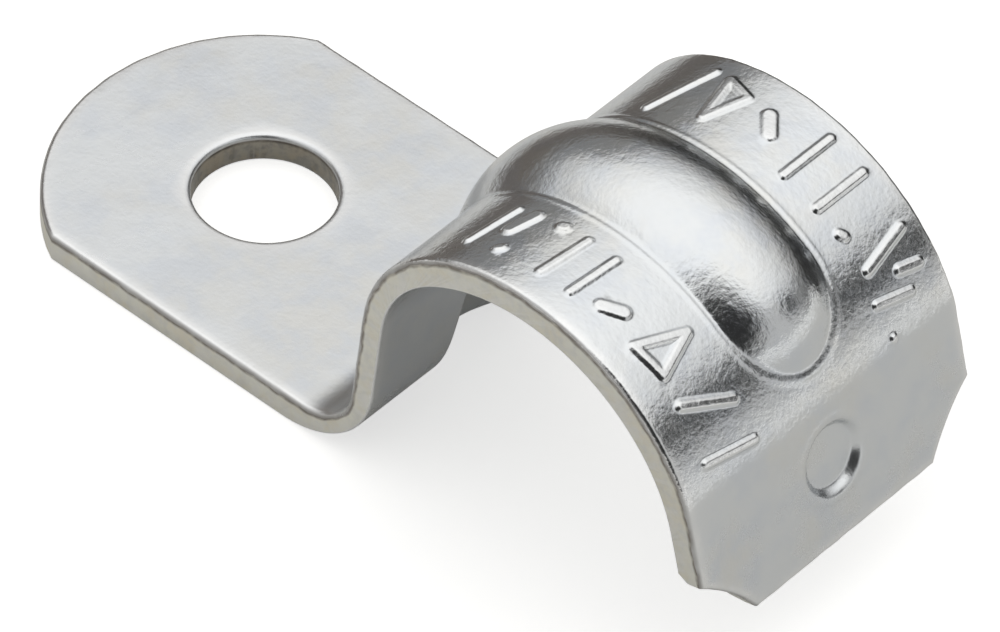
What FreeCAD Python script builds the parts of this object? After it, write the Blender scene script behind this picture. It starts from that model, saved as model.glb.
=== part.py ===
import FreeCAD, Part
import math
import os
from FreeCAD import Vector

# One-hole conduit strap, pressed from a single strip of zinc-plated steel.
# The origin is where the fixing screw's axis meets the mounting surface. The strip runs along +X, from
# the flat foot up the riser and over the saddle that holds the conduit, to the free tail. The conduit
# lies along Y. Angles in the side view are in degrees from +X towards +Z.

# strip
sheet_thickness = 2.2
strip_width = 26.2
edge_rollover = 0.35

# foot, its round end centred on the screw hole
foot_end_radius = 14.95
hole_diameter = 9.9
hole_rollover_width = 0.45
hole_rollover_depth = 0.4

# bend between foot and riser: radius on the upper side, and how much larger it is underneath
bend_radius = 4.2
bend_swell = 3.6

# riser, set in from the saddle's side and drawn thinner than the strip
riser_lean = 5.0
riser_setback = 1.6
riser_thinning = 0.4

# corner between riser and saddle: radius inside, and how much larger it is outside
corner_radius = 9.0
corner_swell = 3.2

# saddle: inside radius, and the conduit's axis from the screw and from the mounting surface
saddle_radius = 13.45
saddle_height = 9.25
hole_to_saddle = 33.4

# tail, leaning outwards and pressed flat on its outer face
tail_flare = 15.5
tail_length = 8.0
tail_thinning = 0.15
tail_knuckle_radius = 5.0
tail_corner_length = 4.3
tail_corner_width = 4.4

# stiffening rib, pressed outwards from the saddle down through the bend
rib_height = 1.5
rib_crown_radius = 7.5
rib_flank_angle = 45.0
rib_end_angle = 56.0
rib_lean = 17.5
rib_root_fillet = 1.2
groove_lip_fillet = 1.8

# round dimple coined into the tail, and the lower bump that it raises inside
dimple_radius = 2.8
dimple_depth = 0.5
dimple_bump = 0.2
dimple_station = 1.85
dimple_wall_angle = 45.0

# how far the cutting bodies reach past the strip
margin = 2 * sheet_thickness

across = Vector(0, 1, 0)
along = Vector(1, 0, 0)
upward = Vector(0, 0, 1)


def polar(centre, radius, angle):
    turn = math.radians(angle)
    return centre + Vector(radius * math.cos(turn), 0, radius * math.sin(turn))


def circle_arc(centre, radius, zero, quarter, start_angle, end_angle):
    """Arc about a centre, its angles turning from the zero direction towards the quarter direction."""
    circle = Part.Circle(centre, zero.cross(quarter), radius)
    circle.XAxis = zero
    first, last = sorted((start_angle, end_angle))
    return Part.ArcOfCircle(circle, math.radians(first), math.radians(last)).toShape()


def arc_edge(centre, radius, start_angle, end_angle):
    return circle_arc(centre, radius, along, upward, start_angle, end_angle)


def line_edge(start, end):
    return Part.LineSegment(start, end).toShape()


def mirrored(point):
    return Vector(point.x, -point.y, point.z)


saddle_centre = Vector(hole_to_saddle, 0, saddle_height)
riser_angle = 180 - riser_lean
riser_normal = polar(Vector(), 1, riser_angle)
tail_normal = polar(Vector(), 1, tail_flare)
tail_direction = polar(Vector(), 1, tail_flare - 90)


def side_faces():
    """Sizes of the strip's two faces; a skin is how far a face lies outside the underside there."""
    underside = {
        "foot_level": 0,
        "bend_radius": bend_radius + bend_swell,
        "riser_skin": 0,
        "corner_radius": corner_radius,
        "saddle_skin": 0,
        "tail_skin": 0,
    }
    upper_side = {
        "foot_level": sheet_thickness,
        "bend_radius": bend_radius,
        "riser_skin": sheet_thickness - riser_thinning,
        "corner_radius": corner_radius + corner_swell,
        "saddle_skin": sheet_thickness,
        "tail_skin": sheet_thickness - tail_thinning,
    }
    return underside, upper_side


def bend_centre(face):
    """Centre of the bend between foot and riser, above the foot and outside the riser."""
    height = face["foot_level"] + face["bend_radius"]
    reach = saddle_radius - riser_setback + face["riser_skin"] + face["bend_radius"]
    reach -= (height - saddle_height) * riser_normal.z
    return Vector(hole_to_saddle + reach / riser_normal.x, 0, height)


def corner_arc(face):
    """Centre of the corner between saddle and riser, and the angle at which it leaves the saddle."""
    riser_distance = saddle_radius - riser_setback + face["riser_skin"]
    corner_reach = saddle_radius + face["saddle_skin"] - face["corner_radius"]
    turn = math.degrees(math.acos((riser_distance - face["corner_radius"]) / corner_reach))
    return polar(saddle_centre, corner_reach, riser_angle - turn), riser_angle - turn


def hill(face, floor):
    """Everything below one face of the bent strip, as wide as the strip and a margin."""
    bend = bend_centre(face)
    crown = saddle_radius + face["saddle_skin"]
    tail_distance = saddle_radius + face["tail_skin"]
    corner = face["corner_radius"]
    corner_centre, corner_angle = corner_arc(face)
    knuckle = tail_knuckle_radius
    knuckle_angle = tail_flare + math.degrees(math.acos((tail_distance - knuckle) / (crown - knuckle)))
    knuckle_centre = polar(saddle_centre, crown - knuckle, knuckle_angle)
    left = -foot_end_radius - margin
    foot_start = Vector(left, 0, face["foot_level"])
    foot_end = Vector(bend.x, 0, face["foot_level"])
    riser_start = polar(bend, face["bend_radius"], riser_angle - 180)
    riser_end = polar(corner_centre, corner, riser_angle)
    tail_start = polar(knuckle_centre, knuckle, tail_flare)
    tail_end = tail_start + tail_direction * ((floor - tail_start.z) / tail_direction.z)
    edges = [line_edge(foot_start, foot_end)]
    edges.append(arc_edge(bend, face["bend_radius"], -90, riser_angle - 180))
    edges.append(line_edge(riser_start, riser_end))
    edges.append(arc_edge(corner_centre, corner, riser_angle, corner_angle))
    edges.append(arc_edge(saddle_centre, crown, corner_angle, knuckle_angle))
    # a tail as thick as the saddle leaves it in line, without a knuckle
    if face["tail_skin"] < face["saddle_skin"]:
        edges.append(arc_edge(knuckle_centre, knuckle, knuckle_angle, tail_flare))
    edges.append(line_edge(tail_start, tail_end))
    edges.append(line_edge(tail_end, Vector(left, 0, floor)))
    edges.append(line_edge(Vector(left, 0, floor), foot_start))
    side_view = Part.Face(Part.Wire(edges))
    half_width = strip_width / 2 + margin
    side_view.translate(across * -half_width)
    return side_view.extrude(across * (2 * half_width))


def rib_corners(apex, outward, inset):
    """Where the rib's crown turns into its flank, and the flank's root level with the crown's centre."""
    flank = math.radians(rib_flank_angle)
    radius = rib_crown_radius - inset
    centre = apex - outward * rib_crown_radius
    shoulder = centre + outward * (radius * math.cos(flank)) + across * (radius * math.sin(flank))
    root = centre + across * (radius / math.sin(flank))
    return shoulder, root


def rib_section(apex, outward, inset):
    """Cross-section of the rib below its crown line: a round crown between two straight flanks."""
    shoulder, root = rib_corners(apex, outward, inset)
    centre = apex - outward * rib_crown_radius
    radius = rib_crown_radius - inset
    edges = [circle_arc(centre, radius, outward, across, -rib_flank_angle, rib_flank_angle)]
    edges.append(line_edge(shoulder, root))
    edges.append(line_edge(root, mirrored(root)))
    edges.append(line_edge(mirrored(root), mirrored(shoulder)))
    return Part.Face(Part.Wire(edges))


def rib_round_end(apex, outward, inset):
    """Half of the cross-section turned about its own middle line, which closes the rib's end."""
    shoulder, root = rib_corners(apex, outward, inset)
    top = apex - outward * inset
    centre = apex - outward * rib_crown_radius
    radius = rib_crown_radius - inset
    edges = [circle_arc(centre, radius, outward, across, 0, rib_flank_angle)]
    edges.append(line_edge(shoulder, root))
    edges.append(line_edge(root, centre))
    edges.append(line_edge(centre, top))
    return Part.Face(Part.Wire(edges)).revolve(apex, outward * -1, 180)


def rib_form(inset):
    """The rib's own body, or its groove's when inset by the sheet: round end, saddle, corner and run."""
    upper_side = side_faces()[1]
    corner_centre, corner_angle = corner_arc(upper_side)
    corner_crown = upper_side["corner_radius"] + rib_height
    run_angle = 180 - rib_lean
    end_outward = polar(Vector(), 1, rib_end_angle)
    end_apex = saddle_centre + end_outward * (saddle_radius + sheet_thickness + rib_height)
    corner_outward = polar(Vector(), 1, corner_angle)
    run_outward = polar(Vector(), 1, run_angle)
    run_apex = corner_centre + run_outward * corner_crown
    run_direction = polar(Vector(), 1, run_angle + 90)
    run_length = (run_apex.z + margin) / -run_direction.z
    # a turn about -Y carries the section over the saddle towards the foot
    round_end = rib_round_end(end_apex, end_outward, inset)
    over_saddle = rib_section(end_apex, end_outward, inset)
    over_saddle = over_saddle.revolve(saddle_centre, across * -1, corner_angle - rib_end_angle)
    over_corner = rib_section(corner_centre + corner_outward * corner_crown, corner_outward, inset)
    over_corner = over_corner.revolve(corner_centre, across * -1, run_angle - corner_angle)
    down_run = rib_section(run_apex, run_outward, inset).extrude(run_direction * run_length)
    return round_end.fuse([over_saddle, over_corner, down_run]).removeSplitter()


def dimple_form(skin, depth):
    """Shallow round dish in the tail, its rim level with the face at this skin."""
    rim_centre = tail_point(dimple_station, 0) + tail_normal * skin
    floor_centre = rim_centre - tail_normal * depth
    floor_radius = dimple_radius - depth / math.tan(math.radians(dimple_wall_angle))
    return Part.makeCone(floor_radius, dimple_radius, depth, floor_centre, tail_normal)


def meeting_edges(shape, first, second):
    """Edges of a shape that lie on the skins of both bodies it was made from."""
    touching = 1e-4
    found = []
    for edge in shape.Edges:
        middle = Part.Vertex(edge.valueAt((edge.FirstParameter + edge.LastParameter) / 2))
        on_first = first.Shells[0].distToShape(middle)[0] < touching
        on_second = second.Shells[0].distToShape(middle)[0] < touching
        if on_first and on_second:
            found.append(edge)
    return found


def ribbed_form(face, floor, inset, fillet):
    """One face's hill with the rib, or its groove, standing out of it on a soft root."""
    base = hill(face, floor)
    rib = rib_form(inset)
    form = base.fuse(rib)
    return form.makeFillet(fillet, meeting_edges(form, base, rib))


def tail_point(station, sideways):
    """A point on the tail's inner face, this far along it from the saddle and off its middle."""
    start = saddle_centre + tail_normal * saddle_radius
    return start + tail_direction * station + across * sideways


def tail_waste():
    """What is sheared off beyond the tail, whose corners are hollowed to the foot's end radius."""
    half_width = strip_width / 2
    corner_start = tail_length - tail_corner_length
    outside = half_width + margin
    beyond = tail_length + hole_to_saddle
    end = tail_point(tail_length, half_width - tail_corner_width)
    corner = tail_point(corner_start, half_width)
    side = tail_point(corner_start, outside)
    far = tail_point(beyond, outside)
    chord = (corner - end).Length
    half_turn = math.degrees(math.asin(chord / 2 / foot_end_radius))
    chordwise = (corner - end).normalize()
    inward = tail_normal.cross(chordwise)
    hollow_centre = (end + corner) / 2 - inward * math.sqrt(foot_end_radius ** 2 - chord ** 2 / 4)
    hollow = circle_arc(hollow_centre, foot_end_radius, inward, chordwise, -half_turn, half_turn)
    edges = [line_edge(mirrored(end), end)]
    edges.append(hollow)
    edges.append(line_edge(corner, side))
    edges.append(line_edge(side, far))
    edges.append(line_edge(far, mirrored(far)))
    edges.append(line_edge(mirrored(far), mirrored(side)))
    edges.append(line_edge(mirrored(side), mirrored(corner)))
    edges.append(hollow.mirror(Vector(), across))
    outline = Part.Face(Part.Wire(edges))
    outline.translate(tail_normal * -margin)
    return outline.extrude(tail_normal * (2 * margin + sheet_thickness))


def screw_hole():
    """The hole's straight wall, splayed at the top where the punch drew the face down with it."""
    wall = hole_diameter / 2
    rim = wall + hole_rollover_width
    bottom = -margin
    top = sheet_thickness + margin
    wall_start = Vector(wall, 0, bottom)
    splay_start = Vector(wall, 0, sheet_thickness - hole_rollover_depth)
    splay_end = Vector(rim, 0, sheet_thickness)
    edges = [line_edge(Vector(0, 0, top), Vector(0, 0, bottom))]
    edges.append(line_edge(Vector(0, 0, bottom), wall_start))
    edges.append(line_edge(wall_start, splay_start))
    edges.append(line_edge(splay_start, splay_end))
    edges.append(line_edge(splay_end, Vector(rim, 0, top)))
    edges.append(line_edge(Vector(rim, 0, top), Vector(0, 0, top)))
    return Part.Face(Part.Wire(edges)).revolve(Vector(), upward, 360)


def strip_outline():
    """The sheared outline through the full height: sides, round foot end and tail end."""
    half_width = strip_width / 2
    end_turn = math.degrees(math.asin(half_width / foot_end_radius))
    corner_x = -math.sqrt(foot_end_radius ** 2 - half_width ** 2)
    far_x = hole_to_saddle + saddle_radius + sheet_thickness + tail_length + margin
    near_corner = Vector(corner_x, -half_width, 0)
    near_far_end = Vector(far_x, -half_width, 0)
    edges = [circle_arc(Vector(), foot_end_radius, along * -1, across, -end_turn, end_turn)]
    edges.append(line_edge(near_corner, near_far_end))
    edges.append(line_edge(near_far_end, mirrored(near_far_end)))
    edges.append(line_edge(mirrored(near_far_end), mirrored(near_corner)))
    plan = Part.Face(Part.Wire(edges))
    plan.translate(upward * -margin)
    height = saddle_height + saddle_radius + sheet_thickness + rib_height + 2 * margin
    return plan.extrude(upward * height).cut(tail_waste())


def rolled_over(strip, upper_form, outline):
    """The strip with the edge round its upper side drawn down by the shears, the tail's end first."""
    rim = meeting_edges(strip, upper_form, outline)
    tail_end = max(rim, key=lambda edge: edge.CenterOfMass.dot(tail_direction))
    strip = strip.makeFillet(edge_rollover, [tail_end])
    return strip.makeFillet(edge_rollover, meeting_edges(strip, upper_form, outline))


def strap():
    """The sheet between its two formed faces, sheared to its outline, punched and dimpled."""
    underside, upper_side = side_faces()
    upper_floor = -2 * margin
    upper_form = ribbed_form(upper_side, upper_floor, 0, rib_root_fillet)
    lower_form = ribbed_form(underside, upper_floor - margin, sheet_thickness, groove_lip_fillet)
    outline = strip_outline()
    strip = upper_form.cut(lower_form).common(outline)
    strip = rolled_over(strip, upper_form, outline)
    dimple = dimple_form(upper_side["tail_skin"], dimple_depth)
    bump = dimple_form(underside["tail_skin"], dimple_bump)
    return strip.cut([screw_hole(), dimple]).fuse(bump).Solids[0]


os.makedirs("parts", exist_ok=True)
strap().exportStep("parts/strap.step")
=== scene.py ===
import math

import bmesh
import bpy
from mathutils import Matrix, Vector


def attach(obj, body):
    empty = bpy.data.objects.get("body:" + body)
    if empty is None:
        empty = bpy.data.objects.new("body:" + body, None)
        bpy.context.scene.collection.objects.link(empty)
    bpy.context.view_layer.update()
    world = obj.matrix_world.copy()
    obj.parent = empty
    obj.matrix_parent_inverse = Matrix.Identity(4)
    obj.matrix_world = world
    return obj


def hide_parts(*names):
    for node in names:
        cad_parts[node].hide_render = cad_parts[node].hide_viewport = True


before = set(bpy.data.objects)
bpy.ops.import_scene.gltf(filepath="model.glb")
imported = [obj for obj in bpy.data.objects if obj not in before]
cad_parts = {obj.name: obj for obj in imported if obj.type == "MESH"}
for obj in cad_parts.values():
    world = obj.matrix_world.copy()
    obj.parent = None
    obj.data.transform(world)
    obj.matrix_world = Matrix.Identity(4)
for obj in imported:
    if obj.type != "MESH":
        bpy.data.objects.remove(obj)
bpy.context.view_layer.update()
mm = 0.001


# the strap's bent form
# millimetres and degrees, side view angles from +X towards +Z
strapForm = {
    "sheet": 2.2,
    "halfWidth": 13.1,
    "rollover": 0.35,
    "rolloverWander": 0.12,  # how uneven the rollover is, as a share of its depth
    "rolloverWaves": ((1.9, 2.3, 1.0), (4.7, -3.1, 0.7)),  # radians per millimetre each way, and weight
    "underEdge": 0.12,
    "tailEndRound": 0.9,
    "footRadius": 14.95,
    "holeRadius": 4.95,
    "holeFlareWidth": 0.45,
    "holeFlareDepth": 0.4,
    "bendRadius": 4.2,
    "bendSwell": 3.6,
    "riserLean": 5.0,
    "riserSetback": 1.6,
    "riserThinning": 0.4,
    "cornerRadius": 9.0,
    "cornerSwell": 3.2,
    "saddleRadius": 13.45,
    "saddleX": 33.4,
    "saddleZ": 9.25,
    "tailFlare": 15.5,
    "tailLength": 8.0,
    "tailThinning": 0.15,
    "knuckle": 5.0,
    "tailCornerLength": 4.3,
    "tailCornerWidth": 4.4,
    "blankStart": -20.0,
    "footSplit": 8.0,
    "tailJoint": 1.0,  # how far down the tail its plain face starts
}

ribForm = {
    "height": 1.5,
    "crownRadius": 7.5,
    "flank": 45.0,
    "end": 56.0,
    "lean": 17.5,
    "rootFillet": 0.6,
    "lip": 0.06,  # fine ridge pinched up beside the root: height, place and width
    "lipPlace": 0.3,
    "lipWidth": 0.15,
    "lipFillet": 1.8,  # round of the groove's lip, underneath
    "leastDrop": 0.3,  # no flank is followed below this
    "leastFacing": 0.05,
    "steepest": 1.38,  # radians, where the root's round stops growing
    "leastRoot": 0.05,
    "noReach": -9.0,  # stands for a point that the rib doesn't reach
}

dimpleForm = {
    "station": 1.85,
    "radius": 2.75,
    "floorRadius": 2.05,
    "depth": 0.5,
    "bump": 0.2,
    "rimLift": 0.07,
    "rimPlace": 0.25,
    "rimWidth": 0.3,
    "fineRadius": 3.6,
    "cuts": 2,
}

blankMesh = {
    "footEndRows": 12,
    "footEndX": -6.5,
    "holeBlockX": 7.5,
    "holeBlockY": 7.0,
    "holeRows": (0.35, 0.55, 1.0),
    "footStep": 0.7,
    "bendLead": 2.6,
    "bendLeadStep": 0.5,
    "bendStep": 0.28,
    "riserStep": 0.4,
    "archStep": 0.3,
    "tailStep": 0.4,
    "ribStep": 0.28,
    "ribFootY": (4.2, 5.5),
    "ribFootStep": 0.12,
    "ribEndAngles": (41, 31),
    "ribEndStep": 0.16,
    "bandStep": 0.5,
    "rimRows": (0.26, 0.5, 0.71, 0.87, 0.97, 1.0),
    "flareRows": (0.2, 0.4, 0.6, 0.8, 1.0),
    "wallRows": (0.05, 0.16, 1.0),
    "sameSpot": 1e-4,
    "creaseAngle": 38,
}


def flat(x, z):
    return Vector((x, z))


def polar(centre, radius, angle):
    turn = math.radians(angle)
    return centre + Vector((math.cos(turn), math.sin(turn))) * radius


# runs of one skin in side view, foot to tail: lines and arcs, each with its outward side
def skinPath(form, outer):
    saddle = flat(form["saddleX"], form["saddleZ"])
    riserAngle = 180 - form["riserLean"]
    riserOut = polar(flat(0, 0), 1, riserAngle)
    tailOut = polar(flat(0, 0), 1, form["tailFlare"])
    tailDown = polar(flat(0, 0), 1, form["tailFlare"] - 90)
    level = form["sheet"] if outer else 0.0
    bendR = form["bendRadius"] if outer else form["bendRadius"] + form["bendSwell"]
    riserSkin = form["sheet"] - form["riserThinning"] if outer else 0.0
    cornerR = form["cornerRadius"] + form["cornerSwell"] if outer else form["cornerRadius"]
    crown = form["saddleRadius"] + (form["sheet"] if outer else 0.0)
    outerCrown = form["saddleRadius"] + form["sheet"]
    tailSkin = form["sheet"] - form["tailThinning"]
    knuckle = form["knuckle"]
    height = level + bendR
    reach = form["saddleRadius"] - form["riserSetback"] + riserSkin + bendR
    reach -= (height - form["saddleZ"]) * riserOut.y
    bend = flat(form["saddleX"] + reach / riserOut.x, height)
    riserDistance = form["saddleRadius"] - form["riserSetback"] + riserSkin
    cornerReach = crown - cornerR
    cornerAngle = riserAngle - math.degrees(math.acos((riserDistance - cornerR) / cornerReach))
    corner = polar(saddle, cornerReach, cornerAngle)
    knuckleTurn = math.acos((form["saddleRadius"] + tailSkin - knuckle) / (outerCrown - knuckle))
    knuckleAngle = form["tailFlare"] + math.degrees(knuckleTurn)
    inStart = saddle + tailOut * form["saddleRadius"]
    runs = [
        ("line", flat(form["blankStart"], level), flat(form["footSplit"], level), flat(0, 1)),
        ("line", flat(form["footSplit"], level), flat(bend.x, level), flat(0, 1)),
        ("arc", bend, bendR, -90, riserAngle - 180, -1),
        ("line", polar(bend, bendR, riserAngle - 180), polar(corner, cornerR, riserAngle), riserOut),
        ("arc", corner, cornerR, riserAngle, cornerAngle, 1),
        ("arc", saddle, crown, cornerAngle, knuckleAngle, 1),
    ]
    if outer:
        knuckleCentre = polar(saddle, crown - knuckle, knuckleAngle)
        start = polar(knuckleCentre, knuckle, form["tailFlare"])
        runs.append(("arc", knuckleCentre, knuckle, knuckleAngle, form["tailFlare"], 1))
        lift = tailSkin
    else:
        start = inStart
        runs.append(("arc", saddle, crown, knuckleAngle, form["tailFlare"], 1))
        lift = 0.0
    joint = inStart + tailDown * form["tailJoint"] + tailOut * lift
    end = inStart + tailDown * form["tailLength"] + tailOut * lift
    runs.append(("line", start, joint, tailOut))
    runs.append(("line", joint, end, tailOut))
    return runs


def runLength(run):
    if run[0] == "line":
        return (run[2] - run[1]).length
    return run[2] * math.radians(abs(run[4] - run[3]))


# point and outward direction at a share of a run
def runPoint(run, share):
    if run[0] == "line":
        return run[1].lerp(run[2], share), run[3]
    angle = run[3] + (run[4] - run[3]) * share
    outward = polar(flat(0, 0), 1, angle)
    return run[1] + outward * run[2], outward * run[5]


outerPath = skinPath(strapForm, True)
innerPath = skinPath(strapForm, False)
stations = [strapForm["blankStart"]]  # where each run of the outer skin starts; on the foot it is plain X
for run in outerPath:
    stations.append(stations[-1] + runLength(run))
# the blank's coordinate where the saddle turns into the tail
tailZero = stations[8] - strapForm["tailJoint"]


def along(path, s):
    index = 0
    while index < len(path) - 1 and s > stations[index + 1]:
        index += 1
    share = (s - stations[index]) / (stations[index + 1] - stations[index])
    return runPoint(path[index], share)


# rib and groove
# line of the rib's crown centres: its end, over the saddle, round the corner, down the run
def ribSpine(form, rib):
    saddle = flat(form["saddleX"], form["saddleZ"])
    corner, cornerR, cornerAngle = outerPath[4][1], outerPath[4][2], outerPath[4][4]
    overSaddle = form["saddleRadius"] + form["sheet"] + rib["height"] - rib["crownRadius"]
    overCorner = cornerR + rib["height"] - rib["crownRadius"]
    runAngle = 180 - rib["lean"]
    runOut = polar(flat(0, 0), 1, runAngle)
    return {
        "end": polar(saddle, overSaddle, rib["end"]),
        "saddle": (saddle, overSaddle, rib["end"], cornerAngle),
        "corner": (corner, overCorner, cornerAngle, runAngle),
        "run": (corner + runOut * overCorner, runOut, polar(flat(0, 0), 1, runAngle + 90)),
    }


spine = ribSpine(strapForm, ribForm)


def angleOf(vector):
    return math.degrees(math.atan2(vector.y, vector.x)) % 360


def circleHit(point, outward, centre, radius):
    q = (point - centre).dot(outward)
    inside = q * q - (point - centre).length_squared + radius * radius
    return None if inside < 0 else math.sqrt(inside) - q


# how far the rib's skin stands from a point of the plain strip, and the cosine between the two
def ribReach(point, outward, across, inset):
    radius = ribForm["crownRadius"] - inset
    flank = math.radians(ribForm["flank"])
    shoulder = radius * math.sin(flank)
    side = abs(across)
    if side < shoulder:
        drop = math.sqrt(radius * radius - side * side)
        lean = math.sqrt(1 - (side / radius) ** 2)
    else:
        drop = radius * math.cos(flank) - (side - shoulder) * math.tan(flank)
        lean = math.cos(flank)
    best, slope = ribForm["noReach"], 1.0
    if drop < ribForm["leastDrop"]:
        return best, slope
    for name in ("saddle", "corner"):
        centre, spineR, low, high = spine[name]
        t = circleHit(point, outward, centre, spineR + drop)
        if t is None:
            continue
        spoke = point + outward * t - centre
        if low <= angleOf(spoke) <= high and t > best:
            best, slope = t, outward.dot(spoke.normalized()) * lean
    t = circleHit(point, outward, spine["end"], drop)
    if t is not None:
        spot = point + outward * t
        if angleOf(spot - spine["saddle"][0]) < ribForm["end"] and t > best:
            best, slope = t, outward.dot((spot - spine["end"]).normalized()) * lean
    foot, runOut, runDown = spine["run"]
    face = outward.dot(runOut)
    if face > ribForm["leastFacing"]:
        t = (drop - (point - foot).dot(runOut)) / face
        if (point + outward * t - foot).dot(runDown) >= 0 and t > best:
            best, slope = t, face * lean
    return best, slope


# height over the plain strip, with a round root where the two skins meet
def softJoin(reach, slope, fillet):
    tilt = min(math.acos(max(-1.0, min(1.0, slope))), ribForm["steepest"])
    reachOfRoot = max(ribForm["leastRoot"], fillet * math.tan(tilt / 2) * math.tan(tilt))
    if reach <= -reachOfRoot:
        return 0.0
    if reach >= reachOfRoot:
        return reach
    return (reach + reachOfRoot) ** 2 / (4 * reachOfRoot)


def smooth(x):
    x = max(0.0, min(1.0, x))
    return x * x * (3 - 2 * x)


def dimpleDrop(s, across, depth):
    distance = math.hypot(s - tailZero - dimpleForm["station"], across)
    wall = (dimpleForm["radius"] - distance) / (dimpleForm["radius"] - dimpleForm["floorRadius"])
    offRim = distance - dimpleForm["radius"] - dimpleForm["rimPlace"]
    rim = math.exp(-(offRim / dimpleForm["rimWidth"]) ** 2)
    return depth * smooth(wall) - dimpleForm["rimLift"] * rim * (depth / dimpleForm["depth"])


# raised marks on both bands
# plain bars, dots and triangles; a stroke has two (arch angle, across) points and a breadth
raisedMarks = {
    "height": 0.2,
    "width": 0.3,
    "soft": 0.34,
    "fineReach": 0.35,
    "cuts": 3,
    "strokes": [
        ((116, 6.2), (109, 11.2), 1.0),
        ((103.5, 11.0), (95.5, 10.2), 1.0),
        ((95.5, 10.2), (99.5, 7.0), 1.0),
        ((99.5, 7.0), (103.5, 11.0), 1.0),
        ((88.0, 9.9), (84.0, 8.6), 2.3),
        ((74, 6.9), (74, 11.5), 1.0), ((63, 7.0), (63, 11.5), 1.0),
        ((55.0, 7.1), (54.0, 7.3), 1.2),
        ((47.5, 11.4), (44.0, 7.4), 1.0),
        ((39.5, 9.6), (38.0, 11.3), 1.2), ((36.0, 6.8), (33.5, 9.8), 0.9),
        ((117.5, -10.6), (114, -6.6), 0.8), ((109, -8.6), (107, -6.7), 2.2),
        ((106.2, -10.6), (105.4, -10.4), 1.1), ((99.0, -6.7), (98.2, -6.6), 1.5),
        ((92.5, -10.7), (91, -6.6), 0.9), ((83.5, -10.7), (82.5, -6.6), 0.9),
        ((76.0, -10.0), (71.5, -9.2), 2.2),
        ((64.0, -10.4), (54.5, -10.0), 1.1),
        ((54.5, -10.0), (59.0, -6.6), 1.1),
        ((59.0, -6.6), (64.0, -10.4), 1.1),
        ((46.5, -10.2), (40, -6.4), 1.1),
        ((31.5, -10.5), (28.7, -6.2), 0.9),
        ((26.5, 7.1), (26.3, 7.1), 0.9),
    ],
}


# the blank's coordinate for an angle round the saddle, on the corner and the tail too
def archStation(angle):
    saddleRun, cornerRun = outerPath[5], outerPath[4]
    if angle > saddleRun[3]:
        return stations[5] - math.radians(angle - saddleRun[3]) * cornerRun[2]
    return stations[5] + math.radians(saddleRun[3] - angle) * saddleRun[2]


strokeLines = []
for start, end, breadth in raisedMarks["strokes"]:
    ends = [Vector((archStation(angle), across)) for angle, across in (start, end)]
    strokeLines.append((ends[0], ends[1], breadth * raisedMarks["width"] / 2))


def strokeGap(spot, start, end):
    line = end - start
    share = max(0.0, min(1.0, (spot - start).dot(line) / max(1e-6, line.length_squared)))
    return (spot - start - line * share).length


# how much of a mark's full height stands here
def markShare(spot):
    lift = 0.0
    for start, end, half in strokeLines:
        gap = strokeGap(spot, start, end)
        lift = max(lift, smooth((half + raisedMarks["soft"] - gap) / raisedMarks["soft"]))
    return lift


# the flat blank
# centre of the hollow arc that the next strap's foot leaves at a tail corner
def tailHollow(form):
    a = Vector((form["tailLength"] - form["tailCornerLength"], form["halfWidth"]))
    b = Vector((form["tailLength"], form["halfWidth"] - form["tailCornerWidth"]))
    half = (a - b).length / 2
    out = Vector((a.y - b.y, b.x - a.x)).normalized()
    return (a + b) / 2 + out * math.sqrt(form["footRadius"] ** 2 - half * half)


hollow = tailHollow(strapForm)
insetWidth = strapForm["halfWidth"] - strapForm["rollover"]
insetEnd = strapForm["tailLength"] - strapForm["rollover"]
hollowInset = strapForm["footRadius"] + strapForm["rollover"]
cornerStation = hollow.x - math.sqrt(hollowInset ** 2 - (hollow.y - insetWidth) ** 2)


def insetHalfWidth(station):
    if station <= cornerStation:
        return insetWidth
    return hollow.y - math.sqrt(hollowInset ** 2 - (hollow.x - station) ** 2)


def splitRun(low, high, step):
    count = max(1, round((high - low) / step))
    return [low + (high - low) * (i + 1) / count for i in range(count)]


# where the blank's grid lines lie along it and across it
def blankLines(form, mesh):
    lengthways = [-1.0 + i / mesh["footEndRows"] for i in range(mesh["footEndRows"] + 1)]
    lengthways += splitRun(mesh["footEndX"], mesh["holeBlockX"], mesh["footStep"])
    lengthways += splitRun(mesh["holeBlockX"], stations[2] - mesh["bendLead"], mesh["bendLeadStep"])
    lengthways += splitRun(stations[2] - mesh["bendLead"], stations[2], mesh["bendStep"])
    lengthways += splitRun(stations[2], stations[3], mesh["bendStep"])
    lengthways += splitRun(stations[3], stations[4], mesh["riserStep"])
    lengthways += splitRun(stations[4], stations[5], mesh["archStep"])
    ribEnd = [archStation(angle) for angle in mesh["ribEndAngles"]]
    lengthways += splitRun(stations[5], ribEnd[0], mesh["archStep"])
    lengthways += splitRun(ribEnd[0], ribEnd[1], mesh["ribEndStep"])
    lengthways += splitRun(ribEnd[1], stations[7], mesh["archStep"])
    lengthways += splitRun(stations[7], tailZero + cornerStation, mesh["tailStep"])
    lengthways += splitRun(tailZero + cornerStation, tailZero + insetEnd, mesh["tailStep"])
    half = [0.0] + splitRun(0, mesh["ribFootY"][0], mesh["ribStep"])
    half += splitRun(mesh["ribFootY"][0], mesh["ribFootY"][1], mesh["ribFootStep"])
    half += splitRun(mesh["ribFootY"][1], mesh["holeBlockY"], mesh["ribStep"])
    half += splitRun(mesh["holeBlockY"], insetWidth, mesh["bandStep"])
    return lengthways, [-y for y in half[:0:-1]] + half


def footEndX(form, share, across):
    radius = form["footRadius"] - form["rollover"]
    start = -math.sqrt(radius ** 2 - across ** 2)
    return start + (blankMesh["footEndX"] - start) * share


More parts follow.
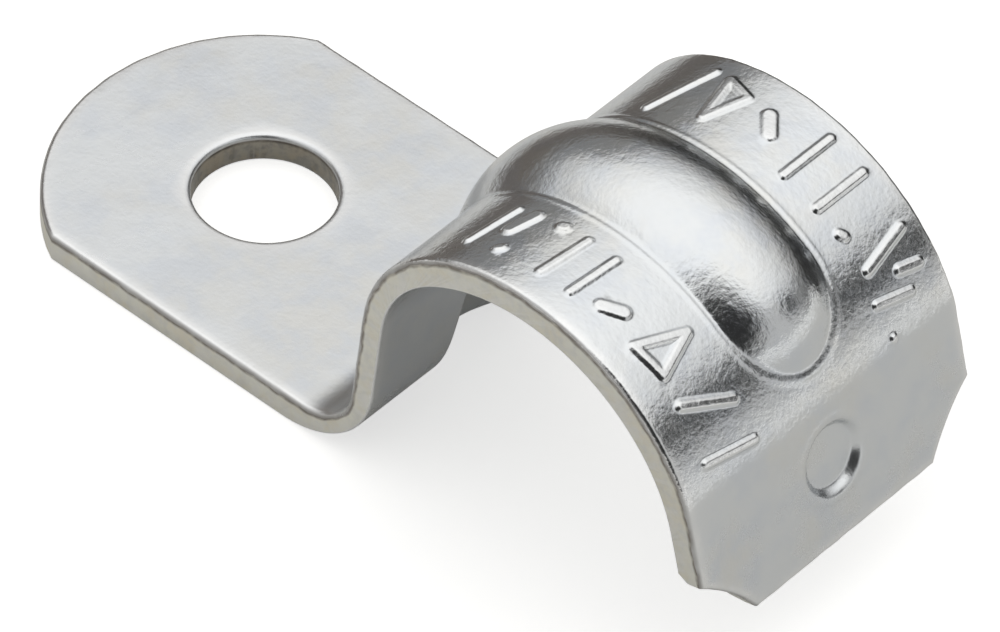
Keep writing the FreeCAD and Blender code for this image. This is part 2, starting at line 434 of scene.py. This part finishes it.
# the sheared outline's point that lies beside a point of the inset outline
def shearedPoint(form, spot):
    x, y = spot.x, spot.y
    side = math.copysign(1, y)
    station = x - tailZero
    near = blankMesh["sameSpot"]
    if abs(station - insetEnd) < near:
        width = insetHalfWidth(insetEnd)
        full = form["halfWidth"] - form["tailCornerWidth"]
        return Vector((tailZero + form["tailLength"], y / width * full))
    if station > cornerStation - near:
        if abs(station - cornerStation) < near:
            start = tailZero + form["tailLength"] - form["tailCornerLength"]
            return Vector((start, side * form["halfWidth"]))
        centre = Vector((tailZero + hollow.x, side * hollow.y))
        return centre + (Vector((x, y)) - centre).normalized() * form["footRadius"]
    corner = math.sqrt(form["footRadius"] ** 2 - form["halfWidth"] ** 2)
    if abs(y) > insetWidth - near:
        return Vector((max(x, -corner), side * form["halfWidth"]))
    return Vector((x, y)).normalized() * form["footRadius"]


# extrudes a loop of edges and returns the new edges and each new vertex with the one it left
def extrudeRing(bm, edges):
    made = bmesh.ops.extrude_edge_only(bm, edges=edges)["geom"]
    newVerts = [g for g in made if isinstance(g, bmesh.types.BMVert)]
    fresh = set(newVerts)
    pairs = []
    for vert in newVerts:
        old = [e.other_vert(vert) for e in vert.link_edges if e.other_vert(vert) not in fresh]
        pairs.append((vert, old[0]))
    newEdges = [g for g in made if isinstance(g, bmesh.types.BMEdge)]
    newEdges = [e for e in newEdges if e.verts[0] in fresh and e.verts[1] in fresh]
    return newEdges, pairs


# puts edges and faces in the order of their corners, which extruding leaves to chance
def sortParts(bm):
    bm.verts.index_update()
    count = len(bm.verts)

    def cornerOrder(part):
        corners = sorted(vert.index for vert in part.verts)
        third = corners[2] if len(corners) > 2 else 0
        return (corners[0] * count + corners[1]) * count + third

    bm.edges.sort(key=cornerOrder)
    bm.faces.sort(key=cornerOrder)


# the flat blank: X along it, Y across it, Z the share over its soft rim (below 0 at the hole)
def makeBlank(form, mesh):
    lengthways, crossways = blankLines(form, mesh)
    bm = bmesh.new()
    bmesh.ops.create_grid(bm, x_segments=len(lengthways) - 1, y_segments=len(crossways) - 1, size=1)
    columns, rows = len(lengthways) - 1, len(crossways) - 1
    for vert in bm.verts:
        i = round((vert.co.x + 1) / 2 * columns)
        j = round((vert.co.y + 1) / 2 * rows)
        x, y = lengthways[i], crossways[j]
        if i <= mesh["footEndRows"]:
            x = footEndX(form, x + 1, y)
        station = x - tailZero
        vert.co = Vector((x, y * insetHalfWidth(station) / insetWidth, 0))
    block = []
    for face in bm.faces:
        c = face.calc_center_median()
        if mesh["footEndX"] < c.x < mesh["holeBlockX"] and abs(c.y) < mesh["holeBlockY"]:
            block.append(face)
    outside = [e for e in bm.edges if e.is_boundary]
    bmesh.ops.delete(bm, geom=block, context="FACES")
    ring = [e for e in bm.edges if e.is_boundary and e not in outside]
    rim = form["holeRadius"] + form["holeFlareWidth"]
    for share in mesh["holeRows"]:
        ring, pairs = extrudeRing(bm, ring)
        for vert, old in pairs:
            goal = old.co.xy.normalized() * rim
            vert.co = old.co.lerp(Vector((goal.x, goal.y, 0)), share)
    shearedGoal = {}
    for share in mesh["rimRows"]:
        outside, pairs = extrudeRing(bm, outside)
        for vert, old in pairs:
            if share == mesh["rimRows"][0]:
                start, last = old.co.xy, 0.0
                goal = shearedPoint(form, start)
            else:
                last = old.co.z
                goal = shearedGoal[old]
                start = goal + (old.co.xy - goal) / (1 - last)
            spot = start.lerp(goal, share)
            vert.co = Vector((spot.x, spot.y, share))
            shearedGoal[vert] = goal
    for share in mesh["flareRows"]:
        ring, pairs = extrudeRing(bm, ring)
        reach = form["holeRadius"] + form["holeFlareWidth"] * (1 - share) ** 2
        for vert, old in pairs:
            spot = old.co.xy.normalized() * reach
            vert.co = Vector((spot.x, spot.y, -share))
    sortParts(bm)
    return bm


# how far the upper skin falls away over its soft rims
def rimDrop(form, co):
    share = co.z
    if share < 0:
        return form["holeFlareDepth"] * share * share
    uneven = sum(weight * math.sin(co.x * a + co.y * b) for a, b, weight in form["rolloverWaves"])
    depth = form["rollover"] * (1 + form["rolloverWander"] * uneven)
    return depth * (1 - math.sqrt(max(0.0, 1 - share * share)))


# the small round along the lower edges, larger at the tail's end
def rimLift(form, co):
    share = co.z
    small = form["tailEndRound"]
    gap = tailZero + form["tailLength"] - co.x
    corner = Vector((gap - form["tailCornerLength"], form["halfWidth"] - abs(co.y)))
    gap = min(gap, corner.length)
    if gap < small:
        return small - math.sqrt(max(0.0, small * small - (small - gap) ** 2))
    small = form["underEdge"]
    if share >= 0:
        gap = form["rollover"] * (1 - share)
    else:
        gap = form["holeFlareWidth"] * (1 + share) ** 2
    if gap >= small:
        return 0.0
    return small - math.sqrt(max(0.0, small * small - (small - gap) ** 2))


def pressOuter(co):
    point, outward = along(outerPath, co.x)
    reach, slope = ribReach(point, outward, co.y, 0)
    height = softJoin(reach, slope, ribForm["rootFillet"])
    height += ribForm["lip"] * math.exp(-((reach + ribForm["lipPlace"]) / ribForm["lipWidth"]) ** 2)
    height += markShare(co.xy) * raisedMarks["height"] - dimpleDrop(co.x, co.y, dimpleForm["depth"])
    height -= rimDrop(strapForm, co)
    spot = point + outward * height
    return Vector((spot.x, co.y, spot.y)) * mm


def pressInner(co):
    point, outward = along(innerPath, co.x)
    reach, slope = ribReach(point, outward, co.y, strapForm["sheet"])
    height = softJoin(reach, slope, ribForm["lipFillet"])
    height -= dimpleDrop(co.x, co.y, dimpleForm["bump"])
    height += rimLift(strapForm, co)
    spot = point + outward * height
    return Vector((spot.x, co.y, spot.y)) * mm


# close enough to a raised mark to need fine faces
def nearMark(co):
    reach = raisedMarks["soft"] + raisedMarks["fineReach"]
    return any(strokeGap(co.xy, start, end) < half + reach for start, end, half in strokeLines)


# millimetres for distances, shares for amounts
wearAndDarklineLook = {
    "drawnLead": 1.0,  # how far ahead of the bend the die has rubbed
    "tailCalm": 0.7,  # how much less it has rubbed on the tail
    "tailLead": 3.0,
    "tailFade": 4.0,
    "edgeFade": 0.35,
    "markWear": 0.8,
    # a thin darker line along the cut edges: how dark, and how far over the soft rim and down the sheared
    # wall it reaches
    "rimDarkline": 0.8,
    "rimDarklineFrom": 0.45,  # share over the soft rim
    "wallDarklineTo": 0.1,  # share down the sheared wall
}


# how far the die has rubbed the plating bright: not on the foot, less on the tail
def drawnShare(s):
    risen = smooth((s - stations[2] + wearAndDarklineLook["drawnLead"]) / (stations[4] - stations[2]))
    onTail = smooth((s - tailZero + wearAndDarklineLook["tailLead"]) / wearAndDarklineLook["tailFade"])
    return risen * (1 - wearAndDarklineLook["tailCalm"] * onTail)


# 1 on every edge, fading within a millimetre
def rubbedShare(co):
    gap = insetHalfWidth(co.x - tailZero) - abs(co.y)
    gap = min(gap, abs(co.xy.length - strapForm["holeRadius"] - strapForm["holeFlareWidth"]))
    gap = min(gap, tailZero + insetEnd - co.x)
    if co.x < 0:
        gap = min(gap, strapForm["footRadius"] - strapForm["rollover"] - co.xy.length)
    return math.exp(-max(0.0, gap) / wearAndDarklineLook["edgeFade"])


def buildStrap():
    bm = makeBlank(strapForm, blankMesh)
    number = bm.verts.layers.int.new("number")
    side = bm.verts.layers.int.new("under")
    drawn = bm.verts.layers.float.new("drawn")
    rubbed = bm.verts.layers.float.new("rubbed")
    darklineShare = bm.verts.layers.float.new("darklineShare")
    for i, vert in enumerate(bm.verts):
        vert[number] = i + 1
    under = bmesh.ops.duplicate(bm, geom=bm.verts[:] + bm.edges[:] + bm.faces[:])
    for item in under["geom"]:
        if isinstance(item, bmesh.types.BMVert):
            item[side] = 1
    dished = []
    for face in bm.faces:
        c = face.calc_center_median()
        spot = Vector((c.x - tailZero - dimpleForm["station"], c.y))
        if not face.verts[0][side] and spot.length < dimpleForm["fineRadius"]:
            dished.append(face)
    edges = list(dict.fromkeys(e for f in dished for e in f.edges))  # in the blank's order
    bmesh.ops.subdivide_edges(bm, edges=edges, cuts=dimpleForm["cuts"], use_grid_fill=True)
    edges = [e for e in bm.edges if not e.verts[0][side] and all(nearMark(v.co) for v in e.verts)]
    bmesh.ops.subdivide_edges(bm, edges=edges, cuts=raisedMarks["cuts"], use_grid_fill=True)
    print("blank:", len(bm.verts), "points")
    rim = [e for e in bm.edges if e.is_boundary and not e.verts[0][side]]
    twin = {}
    for vert in bm.verts:
        vert[drawn] = drawnShare(vert.co.x)
        vert[rubbed] = max(rubbedShare(vert.co), wearAndDarklineLook["markWear"] * markShare(vert.co.xy))
        # the outer part of the soft rim and the top of the sheared wall are darkened in colour: a thin
        # dark line along every cut edge, the hole's too
        overRim = (vert.co.z - wearAndDarklineLook["rimDarklineFrom"]) / (1 - wearAndDarklineLook["rimDarklineFrom"])
        vert[darklineShare] = 0.0 if vert[side] else wearAndDarklineLook["rimDarkline"] * smooth(overRim)
        if vert[side]:
            vert.co = pressInner(vert.co)
            if vert.is_boundary:
                twin[vert[number]] = vert
        else:
            vert.co = pressOuter(vert.co)
    tops = {}
    for edge in rim:
        for vert in edge.verts:
            tops[vert[number]] = vert.co.copy()
            vert[darklineShare] = 1.0
    for share in blankMesh["wallRows"]:
        rim, pairs = extrudeRing(bm, rim)
        for vert, old in pairs:
            vert[number] = old[number]
            vert[rubbed] = 0.0
            vert[darklineShare] = 1.0 if share < wearAndDarklineLook["wallDarklineTo"] else 0.0
            vert.co = tops[old[number]].lerp(twin[old[number]].co, share)
        for edge in rim:
            for face in edge.link_faces:
                # walls inside the hole take the finish whose dark colour is painted shade
                inHole = face.calc_center_median().xy.length < (strapForm["holeRadius"] + 1) * mm
                face.material_index = 2 if inHole else 1
    wallVerts = [vert for vert, old in pairs]
    lower = [twin[vert[number]] for vert in wallVerts]
    bmesh.ops.remove_doubles(bm, verts=wallVerts + lower, dist=1e-7)
    sortParts(bm)
    bmesh.ops.recalc_face_normals(bm, faces=bm.faces[:])
    for face in bm.faces:
        face.smooth = True
    for edge in bm.edges:
        if len(edge.link_faces) == 2 and edge.calc_face_angle(0) > math.radians(blankMesh["creaseAngle"]):
            edge.smooth = False
    print("strap triangles:", sum(len(f.verts) - 2 for f in bm.faces))
    print("strap open edges:", sum(1 for e in bm.edges if not e.is_manifold), "faces", len(bm.faces))
    mesh = bpy.data.meshes.new("pressedStrap")
    bm.to_mesh(mesh)
    bm.free()
    strap = bpy.data.objects.new("pressedStrap", mesh)
    bpy.context.collection.objects.link(strap)
    return strap


strap = buildStrap()
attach(strap, "root")
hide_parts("strap")
print("strap pressed")


# node helpers shared by the materials and the studio
def addNode(tree, kind, place, **settings):
    node = tree.nodes.new(kind)
    node.location = place
    for name, value in settings.items():
        setattr(node, name, value)
    return node


def feed(tree, socket, value):
    if isinstance(value, bpy.types.NodeSocket):
        tree.links.new(value, socket)
    else:
        socket.default_value = value


def mathNode(tree, operation, first, second, place):
    node = addNode(tree, "ShaderNodeMath", place, operation=operation)
    feed(tree, node.inputs[0], first)
    feed(tree, node.inputs[1], second)
    return node.outputs[0]


def mapNode(tree, value, low, high, toLow, toHigh, place):
    node = addNode(tree, "ShaderNodeMapRange", place, interpolation_type="SMOOTHSTEP")
    feed(tree, node.inputs["Value"], value)
    for name, number in (("From Min", low), ("From Max", high), ("To Min", toLow), ("To Max", toHigh)):
        feed(tree, node.inputs[name], number)
    return node.outputs["Result"]


def mixValue(tree, mask, first, second, place):
    node = addNode(tree, "ShaderNodeMix", place)
    for socket, value in zip(node.inputs[:1] + node.inputs[2:4], (mask, first, second)):
        feed(tree, socket, value)
    return node.outputs[0]


def mixColour(tree, mask, first, second, place):
    node = addNode(tree, "ShaderNodeMix", place, data_type="RGBA")
    for socket, value in zip(node.inputs[:1] + node.inputs[6:8], (mask, first, second)):
        feed(tree, socket, value)
    return node.outputs[2]


def noiseNode(tree, vector, scale, detail, place):
    node = addNode(tree, "ShaderNodeTexNoise", place)
    for name, value in (("Vector", vector), ("Scale", scale), ("Detail", detail), ("Roughness", 0.6)):
        feed(tree, node.inputs[name], value)
    return node.outputs["Fac"]


def newGroup(name, inputs, outputs):
    tree = bpy.data.node_groups.new(name, "ShaderNodeTree")
    for label, kind, value in inputs:
        socket = tree.interface.new_socket(name=label, in_out="INPUT", socket_type=kind)
        if value is not None:
            socket.default_value = value
    for label, kind in outputs:
        tree.interface.new_socket(name=label, in_out="OUTPUT", socket_type=kind)
    start = addNode(tree, "NodeGroupInput", (-1400, 0)).outputs
    return tree, start, addNode(tree, "NodeGroupOutput", (900, 0)).inputs


def placeGroup(material, tree, values, place):
    node = addNode(material.node_tree, "ShaderNodeGroup", place, node_tree=tree)
    for name, value in values.items():
        feed(material.node_tree, node.inputs[name], value)
    return node


def newMaterial(name):
    material = bpy.data.materials.new(name)
    material.use_nodes = True
    return material, material.node_tree, material.node_tree.nodes["Principled BSDF"]


# cloudy passivation: blotches of two tints over the plated ground, paler where the edges are rubbed,
# darker along a thin line at the cut edges
def makeCloudGroup():
    inputs = [("Vector", "NodeSocketVector", None), ("Ground", "NodeSocketColor", (0.7, 0.7, 0.7, 1))]
    inputs += [("Warm", "NodeSocketColor", (0.7, 0.7, 0.6, 1))]
    inputs += [("Cool", "NodeSocketColor", (0.6, 0.7, 0.7, 1))]
    inputs += [("Worn", "NodeSocketColor", (0.8, 0.8, 0.8, 1)), ("Wear", "NodeSocketFloat", 0.0)]
    inputs += [("Darkline", "NodeSocketColor", (0.1, 0.1, 0.1, 1)), ("Darklining", "NodeSocketFloat", 0.0)]
    inputs += [("Scale", "NodeSocketFloat", 150.0), ("Amount", "NodeSocketFloat", 0.5)]
    outputs = [("Color", "NodeSocketColor"), ("Mask", "NodeSocketFloat")]
    tree, start, end = newGroup("platingClouds", inputs, outputs)
    finer = mathNode(tree, "MULTIPLY", start["Scale"], 2.7, (-1200, -200))
    big = noiseNode(tree, start["Vector"], start["Scale"], 4.0, (-1000, 200))
    fine = noiseNode(tree, start["Vector"], finer, 3.0, (-1000, -200))
    warm = mapNode(tree, big, 0.42, 0.66, 0.0, start["Amount"], (-700, 200))
    cool = mapNode(tree, fine, 0.4, 0.68, 0.0, start["Amount"], (-700, -200))
    colour = mixColour(tree, warm, start["Ground"], start["Warm"], (-200, 200))
    colour = mixColour(tree, cool, colour, start["Cool"], (50, 100))
    patchy = mapNode(tree, fine, 0.3, 0.6, 0.4, 1.0, (-450, -400))
    rubbed = mathNode(tree, "MULTIPLY", patchy, start["Wear"], (-200, -300))
    colour = mixColour(tree, rubbed, colour, start["Worn"], (300, 0))
    # darker along the thin line at the cut edges
    patchy = mapNode(tree, fine, 0.3, 0.6, 0.55, 1.0, (-450, -600))
    darklineShare = mathNode(tree, "MULTIPLY", patchy, start["Darklining"], (-200, -500))
    colour = mixColour(tree, darklineShare, colour, start["Darkline"], (500, 0))
    tree.links.new(colour, end["Color"])
    tree.links.new(big, end["Mask"])
    return tree


# fine pebbling of pressed and plated sheet, with a few longer drawing lines
def makeGrainGroup():
    inputs = [("Vector", "NodeSocketVector", None), ("Pebble Scale", "NodeSocketFloat", 2500.0)]
    inputs += [("Wave Scale", "NodeSocketFloat", 600.0), ("Lines", "NodeSocketFloat", 0.3)]
    outputs = [("Height", "NodeSocketFloat"), ("Mask", "NodeSocketFloat")]
    tree, start, end = newGroup("sheetGrain", inputs, outputs)
    pull = addNode(tree, "ShaderNodeMapping", (-1200, -300))
    pull.inputs["Scale"].default_value = (0.18, 1.6, 0.18)
    tree.links.new(start["Vector"], pull.inputs["Vector"])
    pebble = noiseNode(tree, start["Vector"], start["Pebble Scale"], 3.0, (-1000, 250))
    wave = noiseNode(tree, start["Vector"], start["Wave Scale"], 2.0, (-1000, 0))
    streak = noiseNode(tree, pull.outputs["Vector"], start["Pebble Scale"], 4.0, (-1000, -300))
    lines = mathNode(tree, "MULTIPLY", streak, start["Lines"], (-700, -300))
    waves = mathNode(tree, "MULTIPLY", wave, 1.6, (-700, 0))
    height = mathNode(tree, "ADD", pebble, waves, (-450, 100))
    height = mathNode(tree, "ADD", height, lines, (-200, 0))
    tree.links.new(height, end["Height"])
    tree.links.new(pebble, end["Mask"])
    return tree


cloudGroup = makeCloudGroup()
grainGroup = makeGrainGroup()

zincFinish = {
    "ground": (0.695, 0.71, 0.715, 1),
    "warm": (0.70, 0.695, 0.665, 1),
    "cool": (0.645, 0.67, 0.70, 1),
    "worn": (0.80, 0.80, 0.79, 1),
    "darkline": (0.22, 0.205, 0.19, 1),
    "clouds": 120.0,
    "cloudAmount": 0.8,
    "dullRough": (0.27, 0.36),  # plain sheet: smallest and largest
    "drawnRough": (0.13, 0.2),  # rubbed bright over the die
    "pebble": 3400.0,
    "wave": 800.0,
    "lines": 0.15,
    "bump": 0.4,
    "bumpDepth": 0.00006,
}

shearFinish = {
    "ground": (0.78, 0.77, 0.70, 1),
    "warm": (0.76, 0.71, 0.59, 1),
    "cool": (0.69, 0.69, 0.67, 1),
    "worn": (0.80, 0.79, 0.75, 1),
    "darkline": (0.28, 0.255, 0.225, 1),
    "clouds": 420.0,
    "cloudAmount": 0.6,
    "dullRough": (0.42, 0.58),
    "drawnRough": (0.42, 0.58),
    "pebble": 1900.0,
    "wave": 500.0,
    "lines": 0.2,
    "bump": 0.5,
    "bumpDepth": 0.00008,
}

# the punched hole's wall: smoother and burnished, and its dark brown colours are painted shade of the
# hole's recess
holeShadeFinish = {
    "ground": (0.36, 0.335, 0.285, 1),
    "warm": (0.42, 0.37, 0.29, 1),
    "cool": (0.22, 0.215, 0.20, 1),
    "worn": (0.55, 0.54, 0.50, 1),
    "darkline": (0.12, 0.105, 0.09, 1),
    "clouds": 500.0,
    "cloudAmount": 0.8,
    "dullRough": (0.3, 0.5),
    "drawnRough": (0.3, 0.5),
    "pebble": 2400.0,
    "wave": 700.0,
    "lines": 0.3,
    "bump": 0.5,
    "bumpDepth": 0.00008,
}


def makeFinish(name, finish):
    material, tree, shader = newMaterial(name)
    place = addNode(tree, "ShaderNodeTexCoord", (-1500, 0)).outputs["Object"]
    drawn = addNode(tree, "ShaderNodeAttribute", (-1500, -300), attribute_name="drawn").outputs["Fac"]
    rubbed = addNode(tree, "ShaderNodeAttribute", (-1500, -500), attribute_name="rubbed").outputs["Fac"]
    darklineShare = addNode(tree, "ShaderNodeAttribute", (-1500, -700), attribute_name="darklineShare").outputs["Fac"]
    values = {"Vector": place, "Scale": finish["clouds"], "Amount": finish["cloudAmount"]}
    values.update({"Wear": rubbed, "Darklining": darklineShare})
    for label in ("Ground", "Warm", "Cool", "Worn", "Darkline"):
        values[label] = finish[label.lower()]
    clouds = placeGroup(material, cloudGroup, values, (-900, 300))
    values = {"Vector": place, "Pebble Scale": finish["pebble"]}
    values.update({"Wave Scale": finish["wave"], "Lines": finish["lines"]})
    grain = placeGroup(material, grainGroup, values, (-900, -200))
    tree.links.new(clouds.outputs["Color"], shader.inputs["Base Color"])
    dull = mapNode(tree, clouds.outputs["Mask"], 0.35, 0.65, *finish["dullRough"], (-600, 0))
    bright = mapNode(tree, grain.outputs["Mask"], 0.35, 0.65, *finish["drawnRough"], (-600, -200))
    tree.links.new(mixValue(tree, drawn, dull, bright, (-350, -100)), shader.inputs["Roughness"])
    bump = addNode(tree, "ShaderNodeBump", (-350, -350))
    bump.inputs["Strength"].default_value = finish["bump"]
    bump.inputs["Distance"].default_value = finish["bumpDepth"]
    calm = mapNode(tree, drawn, 0.0, 1.0, 0.45, 1.0, (-800, -500))
    height = mathNode(tree, "MULTIPLY", grain.outputs["Height"], calm, (-600, -450))
    tree.links.new(height, bump.inputs["Height"])
    tree.links.new(bump.outputs["Normal"], shader.inputs["Normal"])
    shader.inputs["Metallic"].default_value = 1.0
    return material


strap.data.materials.append(makeFinish("zincPlate", zincFinish))
strap.data.materials.append(makeFinish("shearedEdge", shearFinish))
# the hole's wall finish carries painted shade in its dark colours
strap.data.materials.append(makeFinish("punchedHolePaintedShade", holeShadeFinish))
print("materials ready")

floorLook = {
    "colour": (0.69, 0.685, 0.665, 1),
    "glow": 0.62,
    "nearGlow": 0.08,
    "below": 0.00003,
    "reach": 3.0,
    "centre": (0.024, 0.0, 0.0),
    "dimNear": (0.12, 0.4),  # mirrored floor: plain inside the first distance, white past the second
}


def makeFloor(look):
    bm = bmesh.new()
    bmesh.ops.create_grid(bm, x_segments=1, y_segments=1, size=look["reach"])
    bmesh.ops.translate(bm, verts=bm.verts[:], vec=Vector((0, 0, -look["below"])))
    mesh = bpy.data.meshes.new("floor")
    bm.to_mesh(mesh)
    bm.free()
    floor = bpy.data.objects.new("floor", mesh)
    bpy.context.collection.objects.link(floor)
    material, tree, shader = newMaterial("paleFloor")
    shader.inputs["Base Color"].default_value = look["colour"]
    shader.inputs["Roughness"].default_value = 0.95
    shader.inputs["Specular IOR Level"].default_value = 0.0
    shader.inputs["Emission Color"].default_value = (1, 1, 1, 1)
    place = addNode(tree, "ShaderNodeTexCoord", (-1300, -500)).outputs["Object"]
    away = addNode(tree, "ShaderNodeVectorMath", (-1100, -500), operation="DISTANCE")
    tree.links.new(place, away.inputs[0])
    away.inputs[1].default_value = look["centre"]
    far = mapNode(tree, away.outputs["Value"], *look["dimNear"], look["nearGlow"], 1.0, (-900, -500))
    path = addNode(tree, "ShaderNodeLightPath", (-1100, -200))
    glossy, through = path.outputs["Is Glossy Ray"], path.outputs["Is Transmission Ray"]
    mirrored = mathNode(tree, "MAXIMUM", glossy, through, (-900, -250))
    mirrored = mathNode(tree, "MULTIPLY", mirrored, far, (-700, -350))
    seen = mathNode(tree, "MAXIMUM", path.outputs["Is Camera Ray"], mirrored, (-500, -250))
    glow = mathNode(tree, "MULTIPLY", seen, look["glow"], (-300, -250))
    tree.links.new(glow, shader.inputs["Emission Strength"])
    mesh.materials.append(material)


makeFloor(floorLook)

# a low curved grey flag behind the strap, met only by mirrored rays
flagLook = {
    "dark": (0.06, 0.06, 0.06, 1),
    "pale": (0.34, 0.31, 0.29, 1),
    "turn": (-0.055, -0.01),  # X where it has turned pale, and where it is still dark
    "radius": 0.095,
    "height": 0.042,
    "from": 58,
    "to": 205,
    "steps": 40,
}


def makeFlag(look):
    turn = math.radians(look["from"])
    foot = Vector(floorLook["centre"]) + Vector((math.cos(turn), math.sin(turn), 0)) * look["radius"]
    bm = bmesh.new()
    low = bm.verts.new(foot)
    high = bm.verts.new(foot + Vector((0, 0, look["height"])))
    edge = bm.edges.new((low, high))
    sweep = math.radians(look["to"] - look["from"])
    bmesh.ops.spin(bm, geom=[low, high, edge], cent=floorLook["centre"], axis=(0, 0, 1), angle=sweep,
                   steps=look["steps"], use_merge=False)
    mesh = bpy.data.meshes.new("greyFlag")
    bm.to_mesh(mesh)
    bm.free()
    flag = bpy.data.objects.new("greyFlag", mesh)
    bpy.context.collection.objects.link(flag)
    flag.visible_camera = False
    flag.visible_diffuse = False
    flag.visible_shadow = False
    material, tree, shader = newMaterial("greyCard")
    place = addNode(tree, "ShaderNodeTexCoord", (-1100, 0)).outputs["Object"]
    split = addNode(tree, "ShaderNodeSeparateXYZ", (-900, 0))
    tree.links.new(place, split.inputs["Vector"])
    mask = mapNode(tree, split.outputs["X"], *look["turn"], 0.0, 1.0, (-700, 0))
    grey = mixColour(tree, mask, look["pale"], look["dark"], (-400, 0))
    tree.links.new(grey, shader.inputs["Base Color"])
    shader.inputs["Roughness"].default_value = 0.95
    shader.inputs["Specular IOR Level"].default_value = 0.0
    mesh.materials.append(material)


makeFlag(flagLook)

# soft studio: brightness by height of the direction, then walls and flags as round patches
studioLight = {
    "ceiling": 1.25,
    "ramp": ((0.0, 0.14), (0.26, 0.18), (0.5, 0.56), (0.7, 0.8), (0.87, 0.97), (1.0, 1.0)),
    "patches": [
        {"azimuth": -120, "elevation": 8, "inner": 16, "outer": 52, "level": 0.75},
        {"azimuth": 12, "elevation": 2, "inner": 16, "outer": 46, "level": 0.6},
        {"azimuth": 148, "elevation": 19, "inner": 8, "outer": 20, "level": 0.25},
        {"azimuth": 37, "elevation": 22, "inner": 5, "outer": 12, "level": 0.06},
        {"azimuth": -36, "elevation": 33, "inner": 18, "outer": 38, "level": 0.035},
    ],
}


def skyDirection(azimuth, elevation):
    a, e = math.radians(azimuth), math.radians(elevation)
    return (math.cos(a) * math.cos(e), math.sin(a) * math.cos(e), math.sin(e))


def makeStudio(light):
    world = bpy.data.worlds.new("studio")
    bpy.context.scene.world = world
    world.use_nodes = True
    tree = world.node_tree
    background = tree.nodes["Background"]
    direction = addNode(tree, "ShaderNodeTexCoord", (-1800, 0)).outputs["Generated"]
    split = addNode(tree, "ShaderNodeSeparateXYZ", (-1600, 200))
    tree.links.new(direction, split.inputs["Vector"])
    ramp = addNode(tree, "ShaderNodeValToRGB", (-1400, 200))
    ramp.color_ramp.interpolation = "EASE"
    while len(ramp.color_ramp.elements) < len(light["ramp"]):
        ramp.color_ramp.elements.new(0.5)
    for stop, (place, level) in zip(ramp.color_ramp.elements, light["ramp"]):
        stop.position = place
        stop.color = (level, level, level, 1)
    tree.links.new(split.outputs["Z"], ramp.inputs["Fac"])
    level = mathNode(tree, "MULTIPLY", ramp.outputs["Color"], light["ceiling"], (-1100, 200))
    for i, patch in enumerate(light["patches"]):
        dot = addNode(tree, "ShaderNodeVectorMath", (-1400 + 300 * i, -300), operation="DOT_PRODUCT")
        tree.links.new(direction, dot.inputs[0])
        dot.inputs[1].default_value = skyDirection(patch["azimuth"], patch["elevation"])
        outer, inner = (math.cos(math.radians(patch[key])) for key in ("outer", "inner"))
        mask = mapNode(tree, dot.outputs["Value"], outer, inner, 0.0, 1.0, (-1200 + 300 * i, -300))
        level = mixValue(tree, mask, level, patch["level"], (-800 + 300 * i, 0))
    tree.links.new(level, background.inputs["Strength"])
    background.inputs["Color"].default_value = (1, 1, 1, 1)


makeStudio(studioLight)
print("studio ready")

view = {
    "azimuth": 39.52,
    "elevation": 45.34,
    "roll": 3.13,
    "lens": 338.3,
    "place": (0.29509, -0.33251, 0.44091),
}


def makeCamera(look):
    data = bpy.data.cameras.new("camera")
    data.sensor_width = 36
    data.sensor_fit = "HORIZONTAL"
    data.lens = look["lens"]
    data.clip_start = 0.01
    data.clip_end = 10
    camera = bpy.data.objects.new("camera", data)
    bpy.context.collection.objects.link(camera)
    a, e, r = (math.radians(look[key]) for key in ("azimuth", "elevation", "roll"))
    back = Vector((math.sin(a) * math.cos(e), -math.cos(a) * math.cos(e), math.sin(e)))
    level = Vector((math.cos(a), math.sin(a), 0))
    upright = back.cross(level)
    right = level * math.cos(r) + upright * math.sin(r)
    up = upright * math.cos(r) - level * math.sin(r)
    turn = Matrix((right, up, back)).transposed().to_4x4()
    camera.matrix_world = Matrix.Translation(look["place"]) @ turn
    bpy.context.scene.camera = camera


makeCamera(view)
bpy.context.scene.view_settings.view_transform = "Standard"
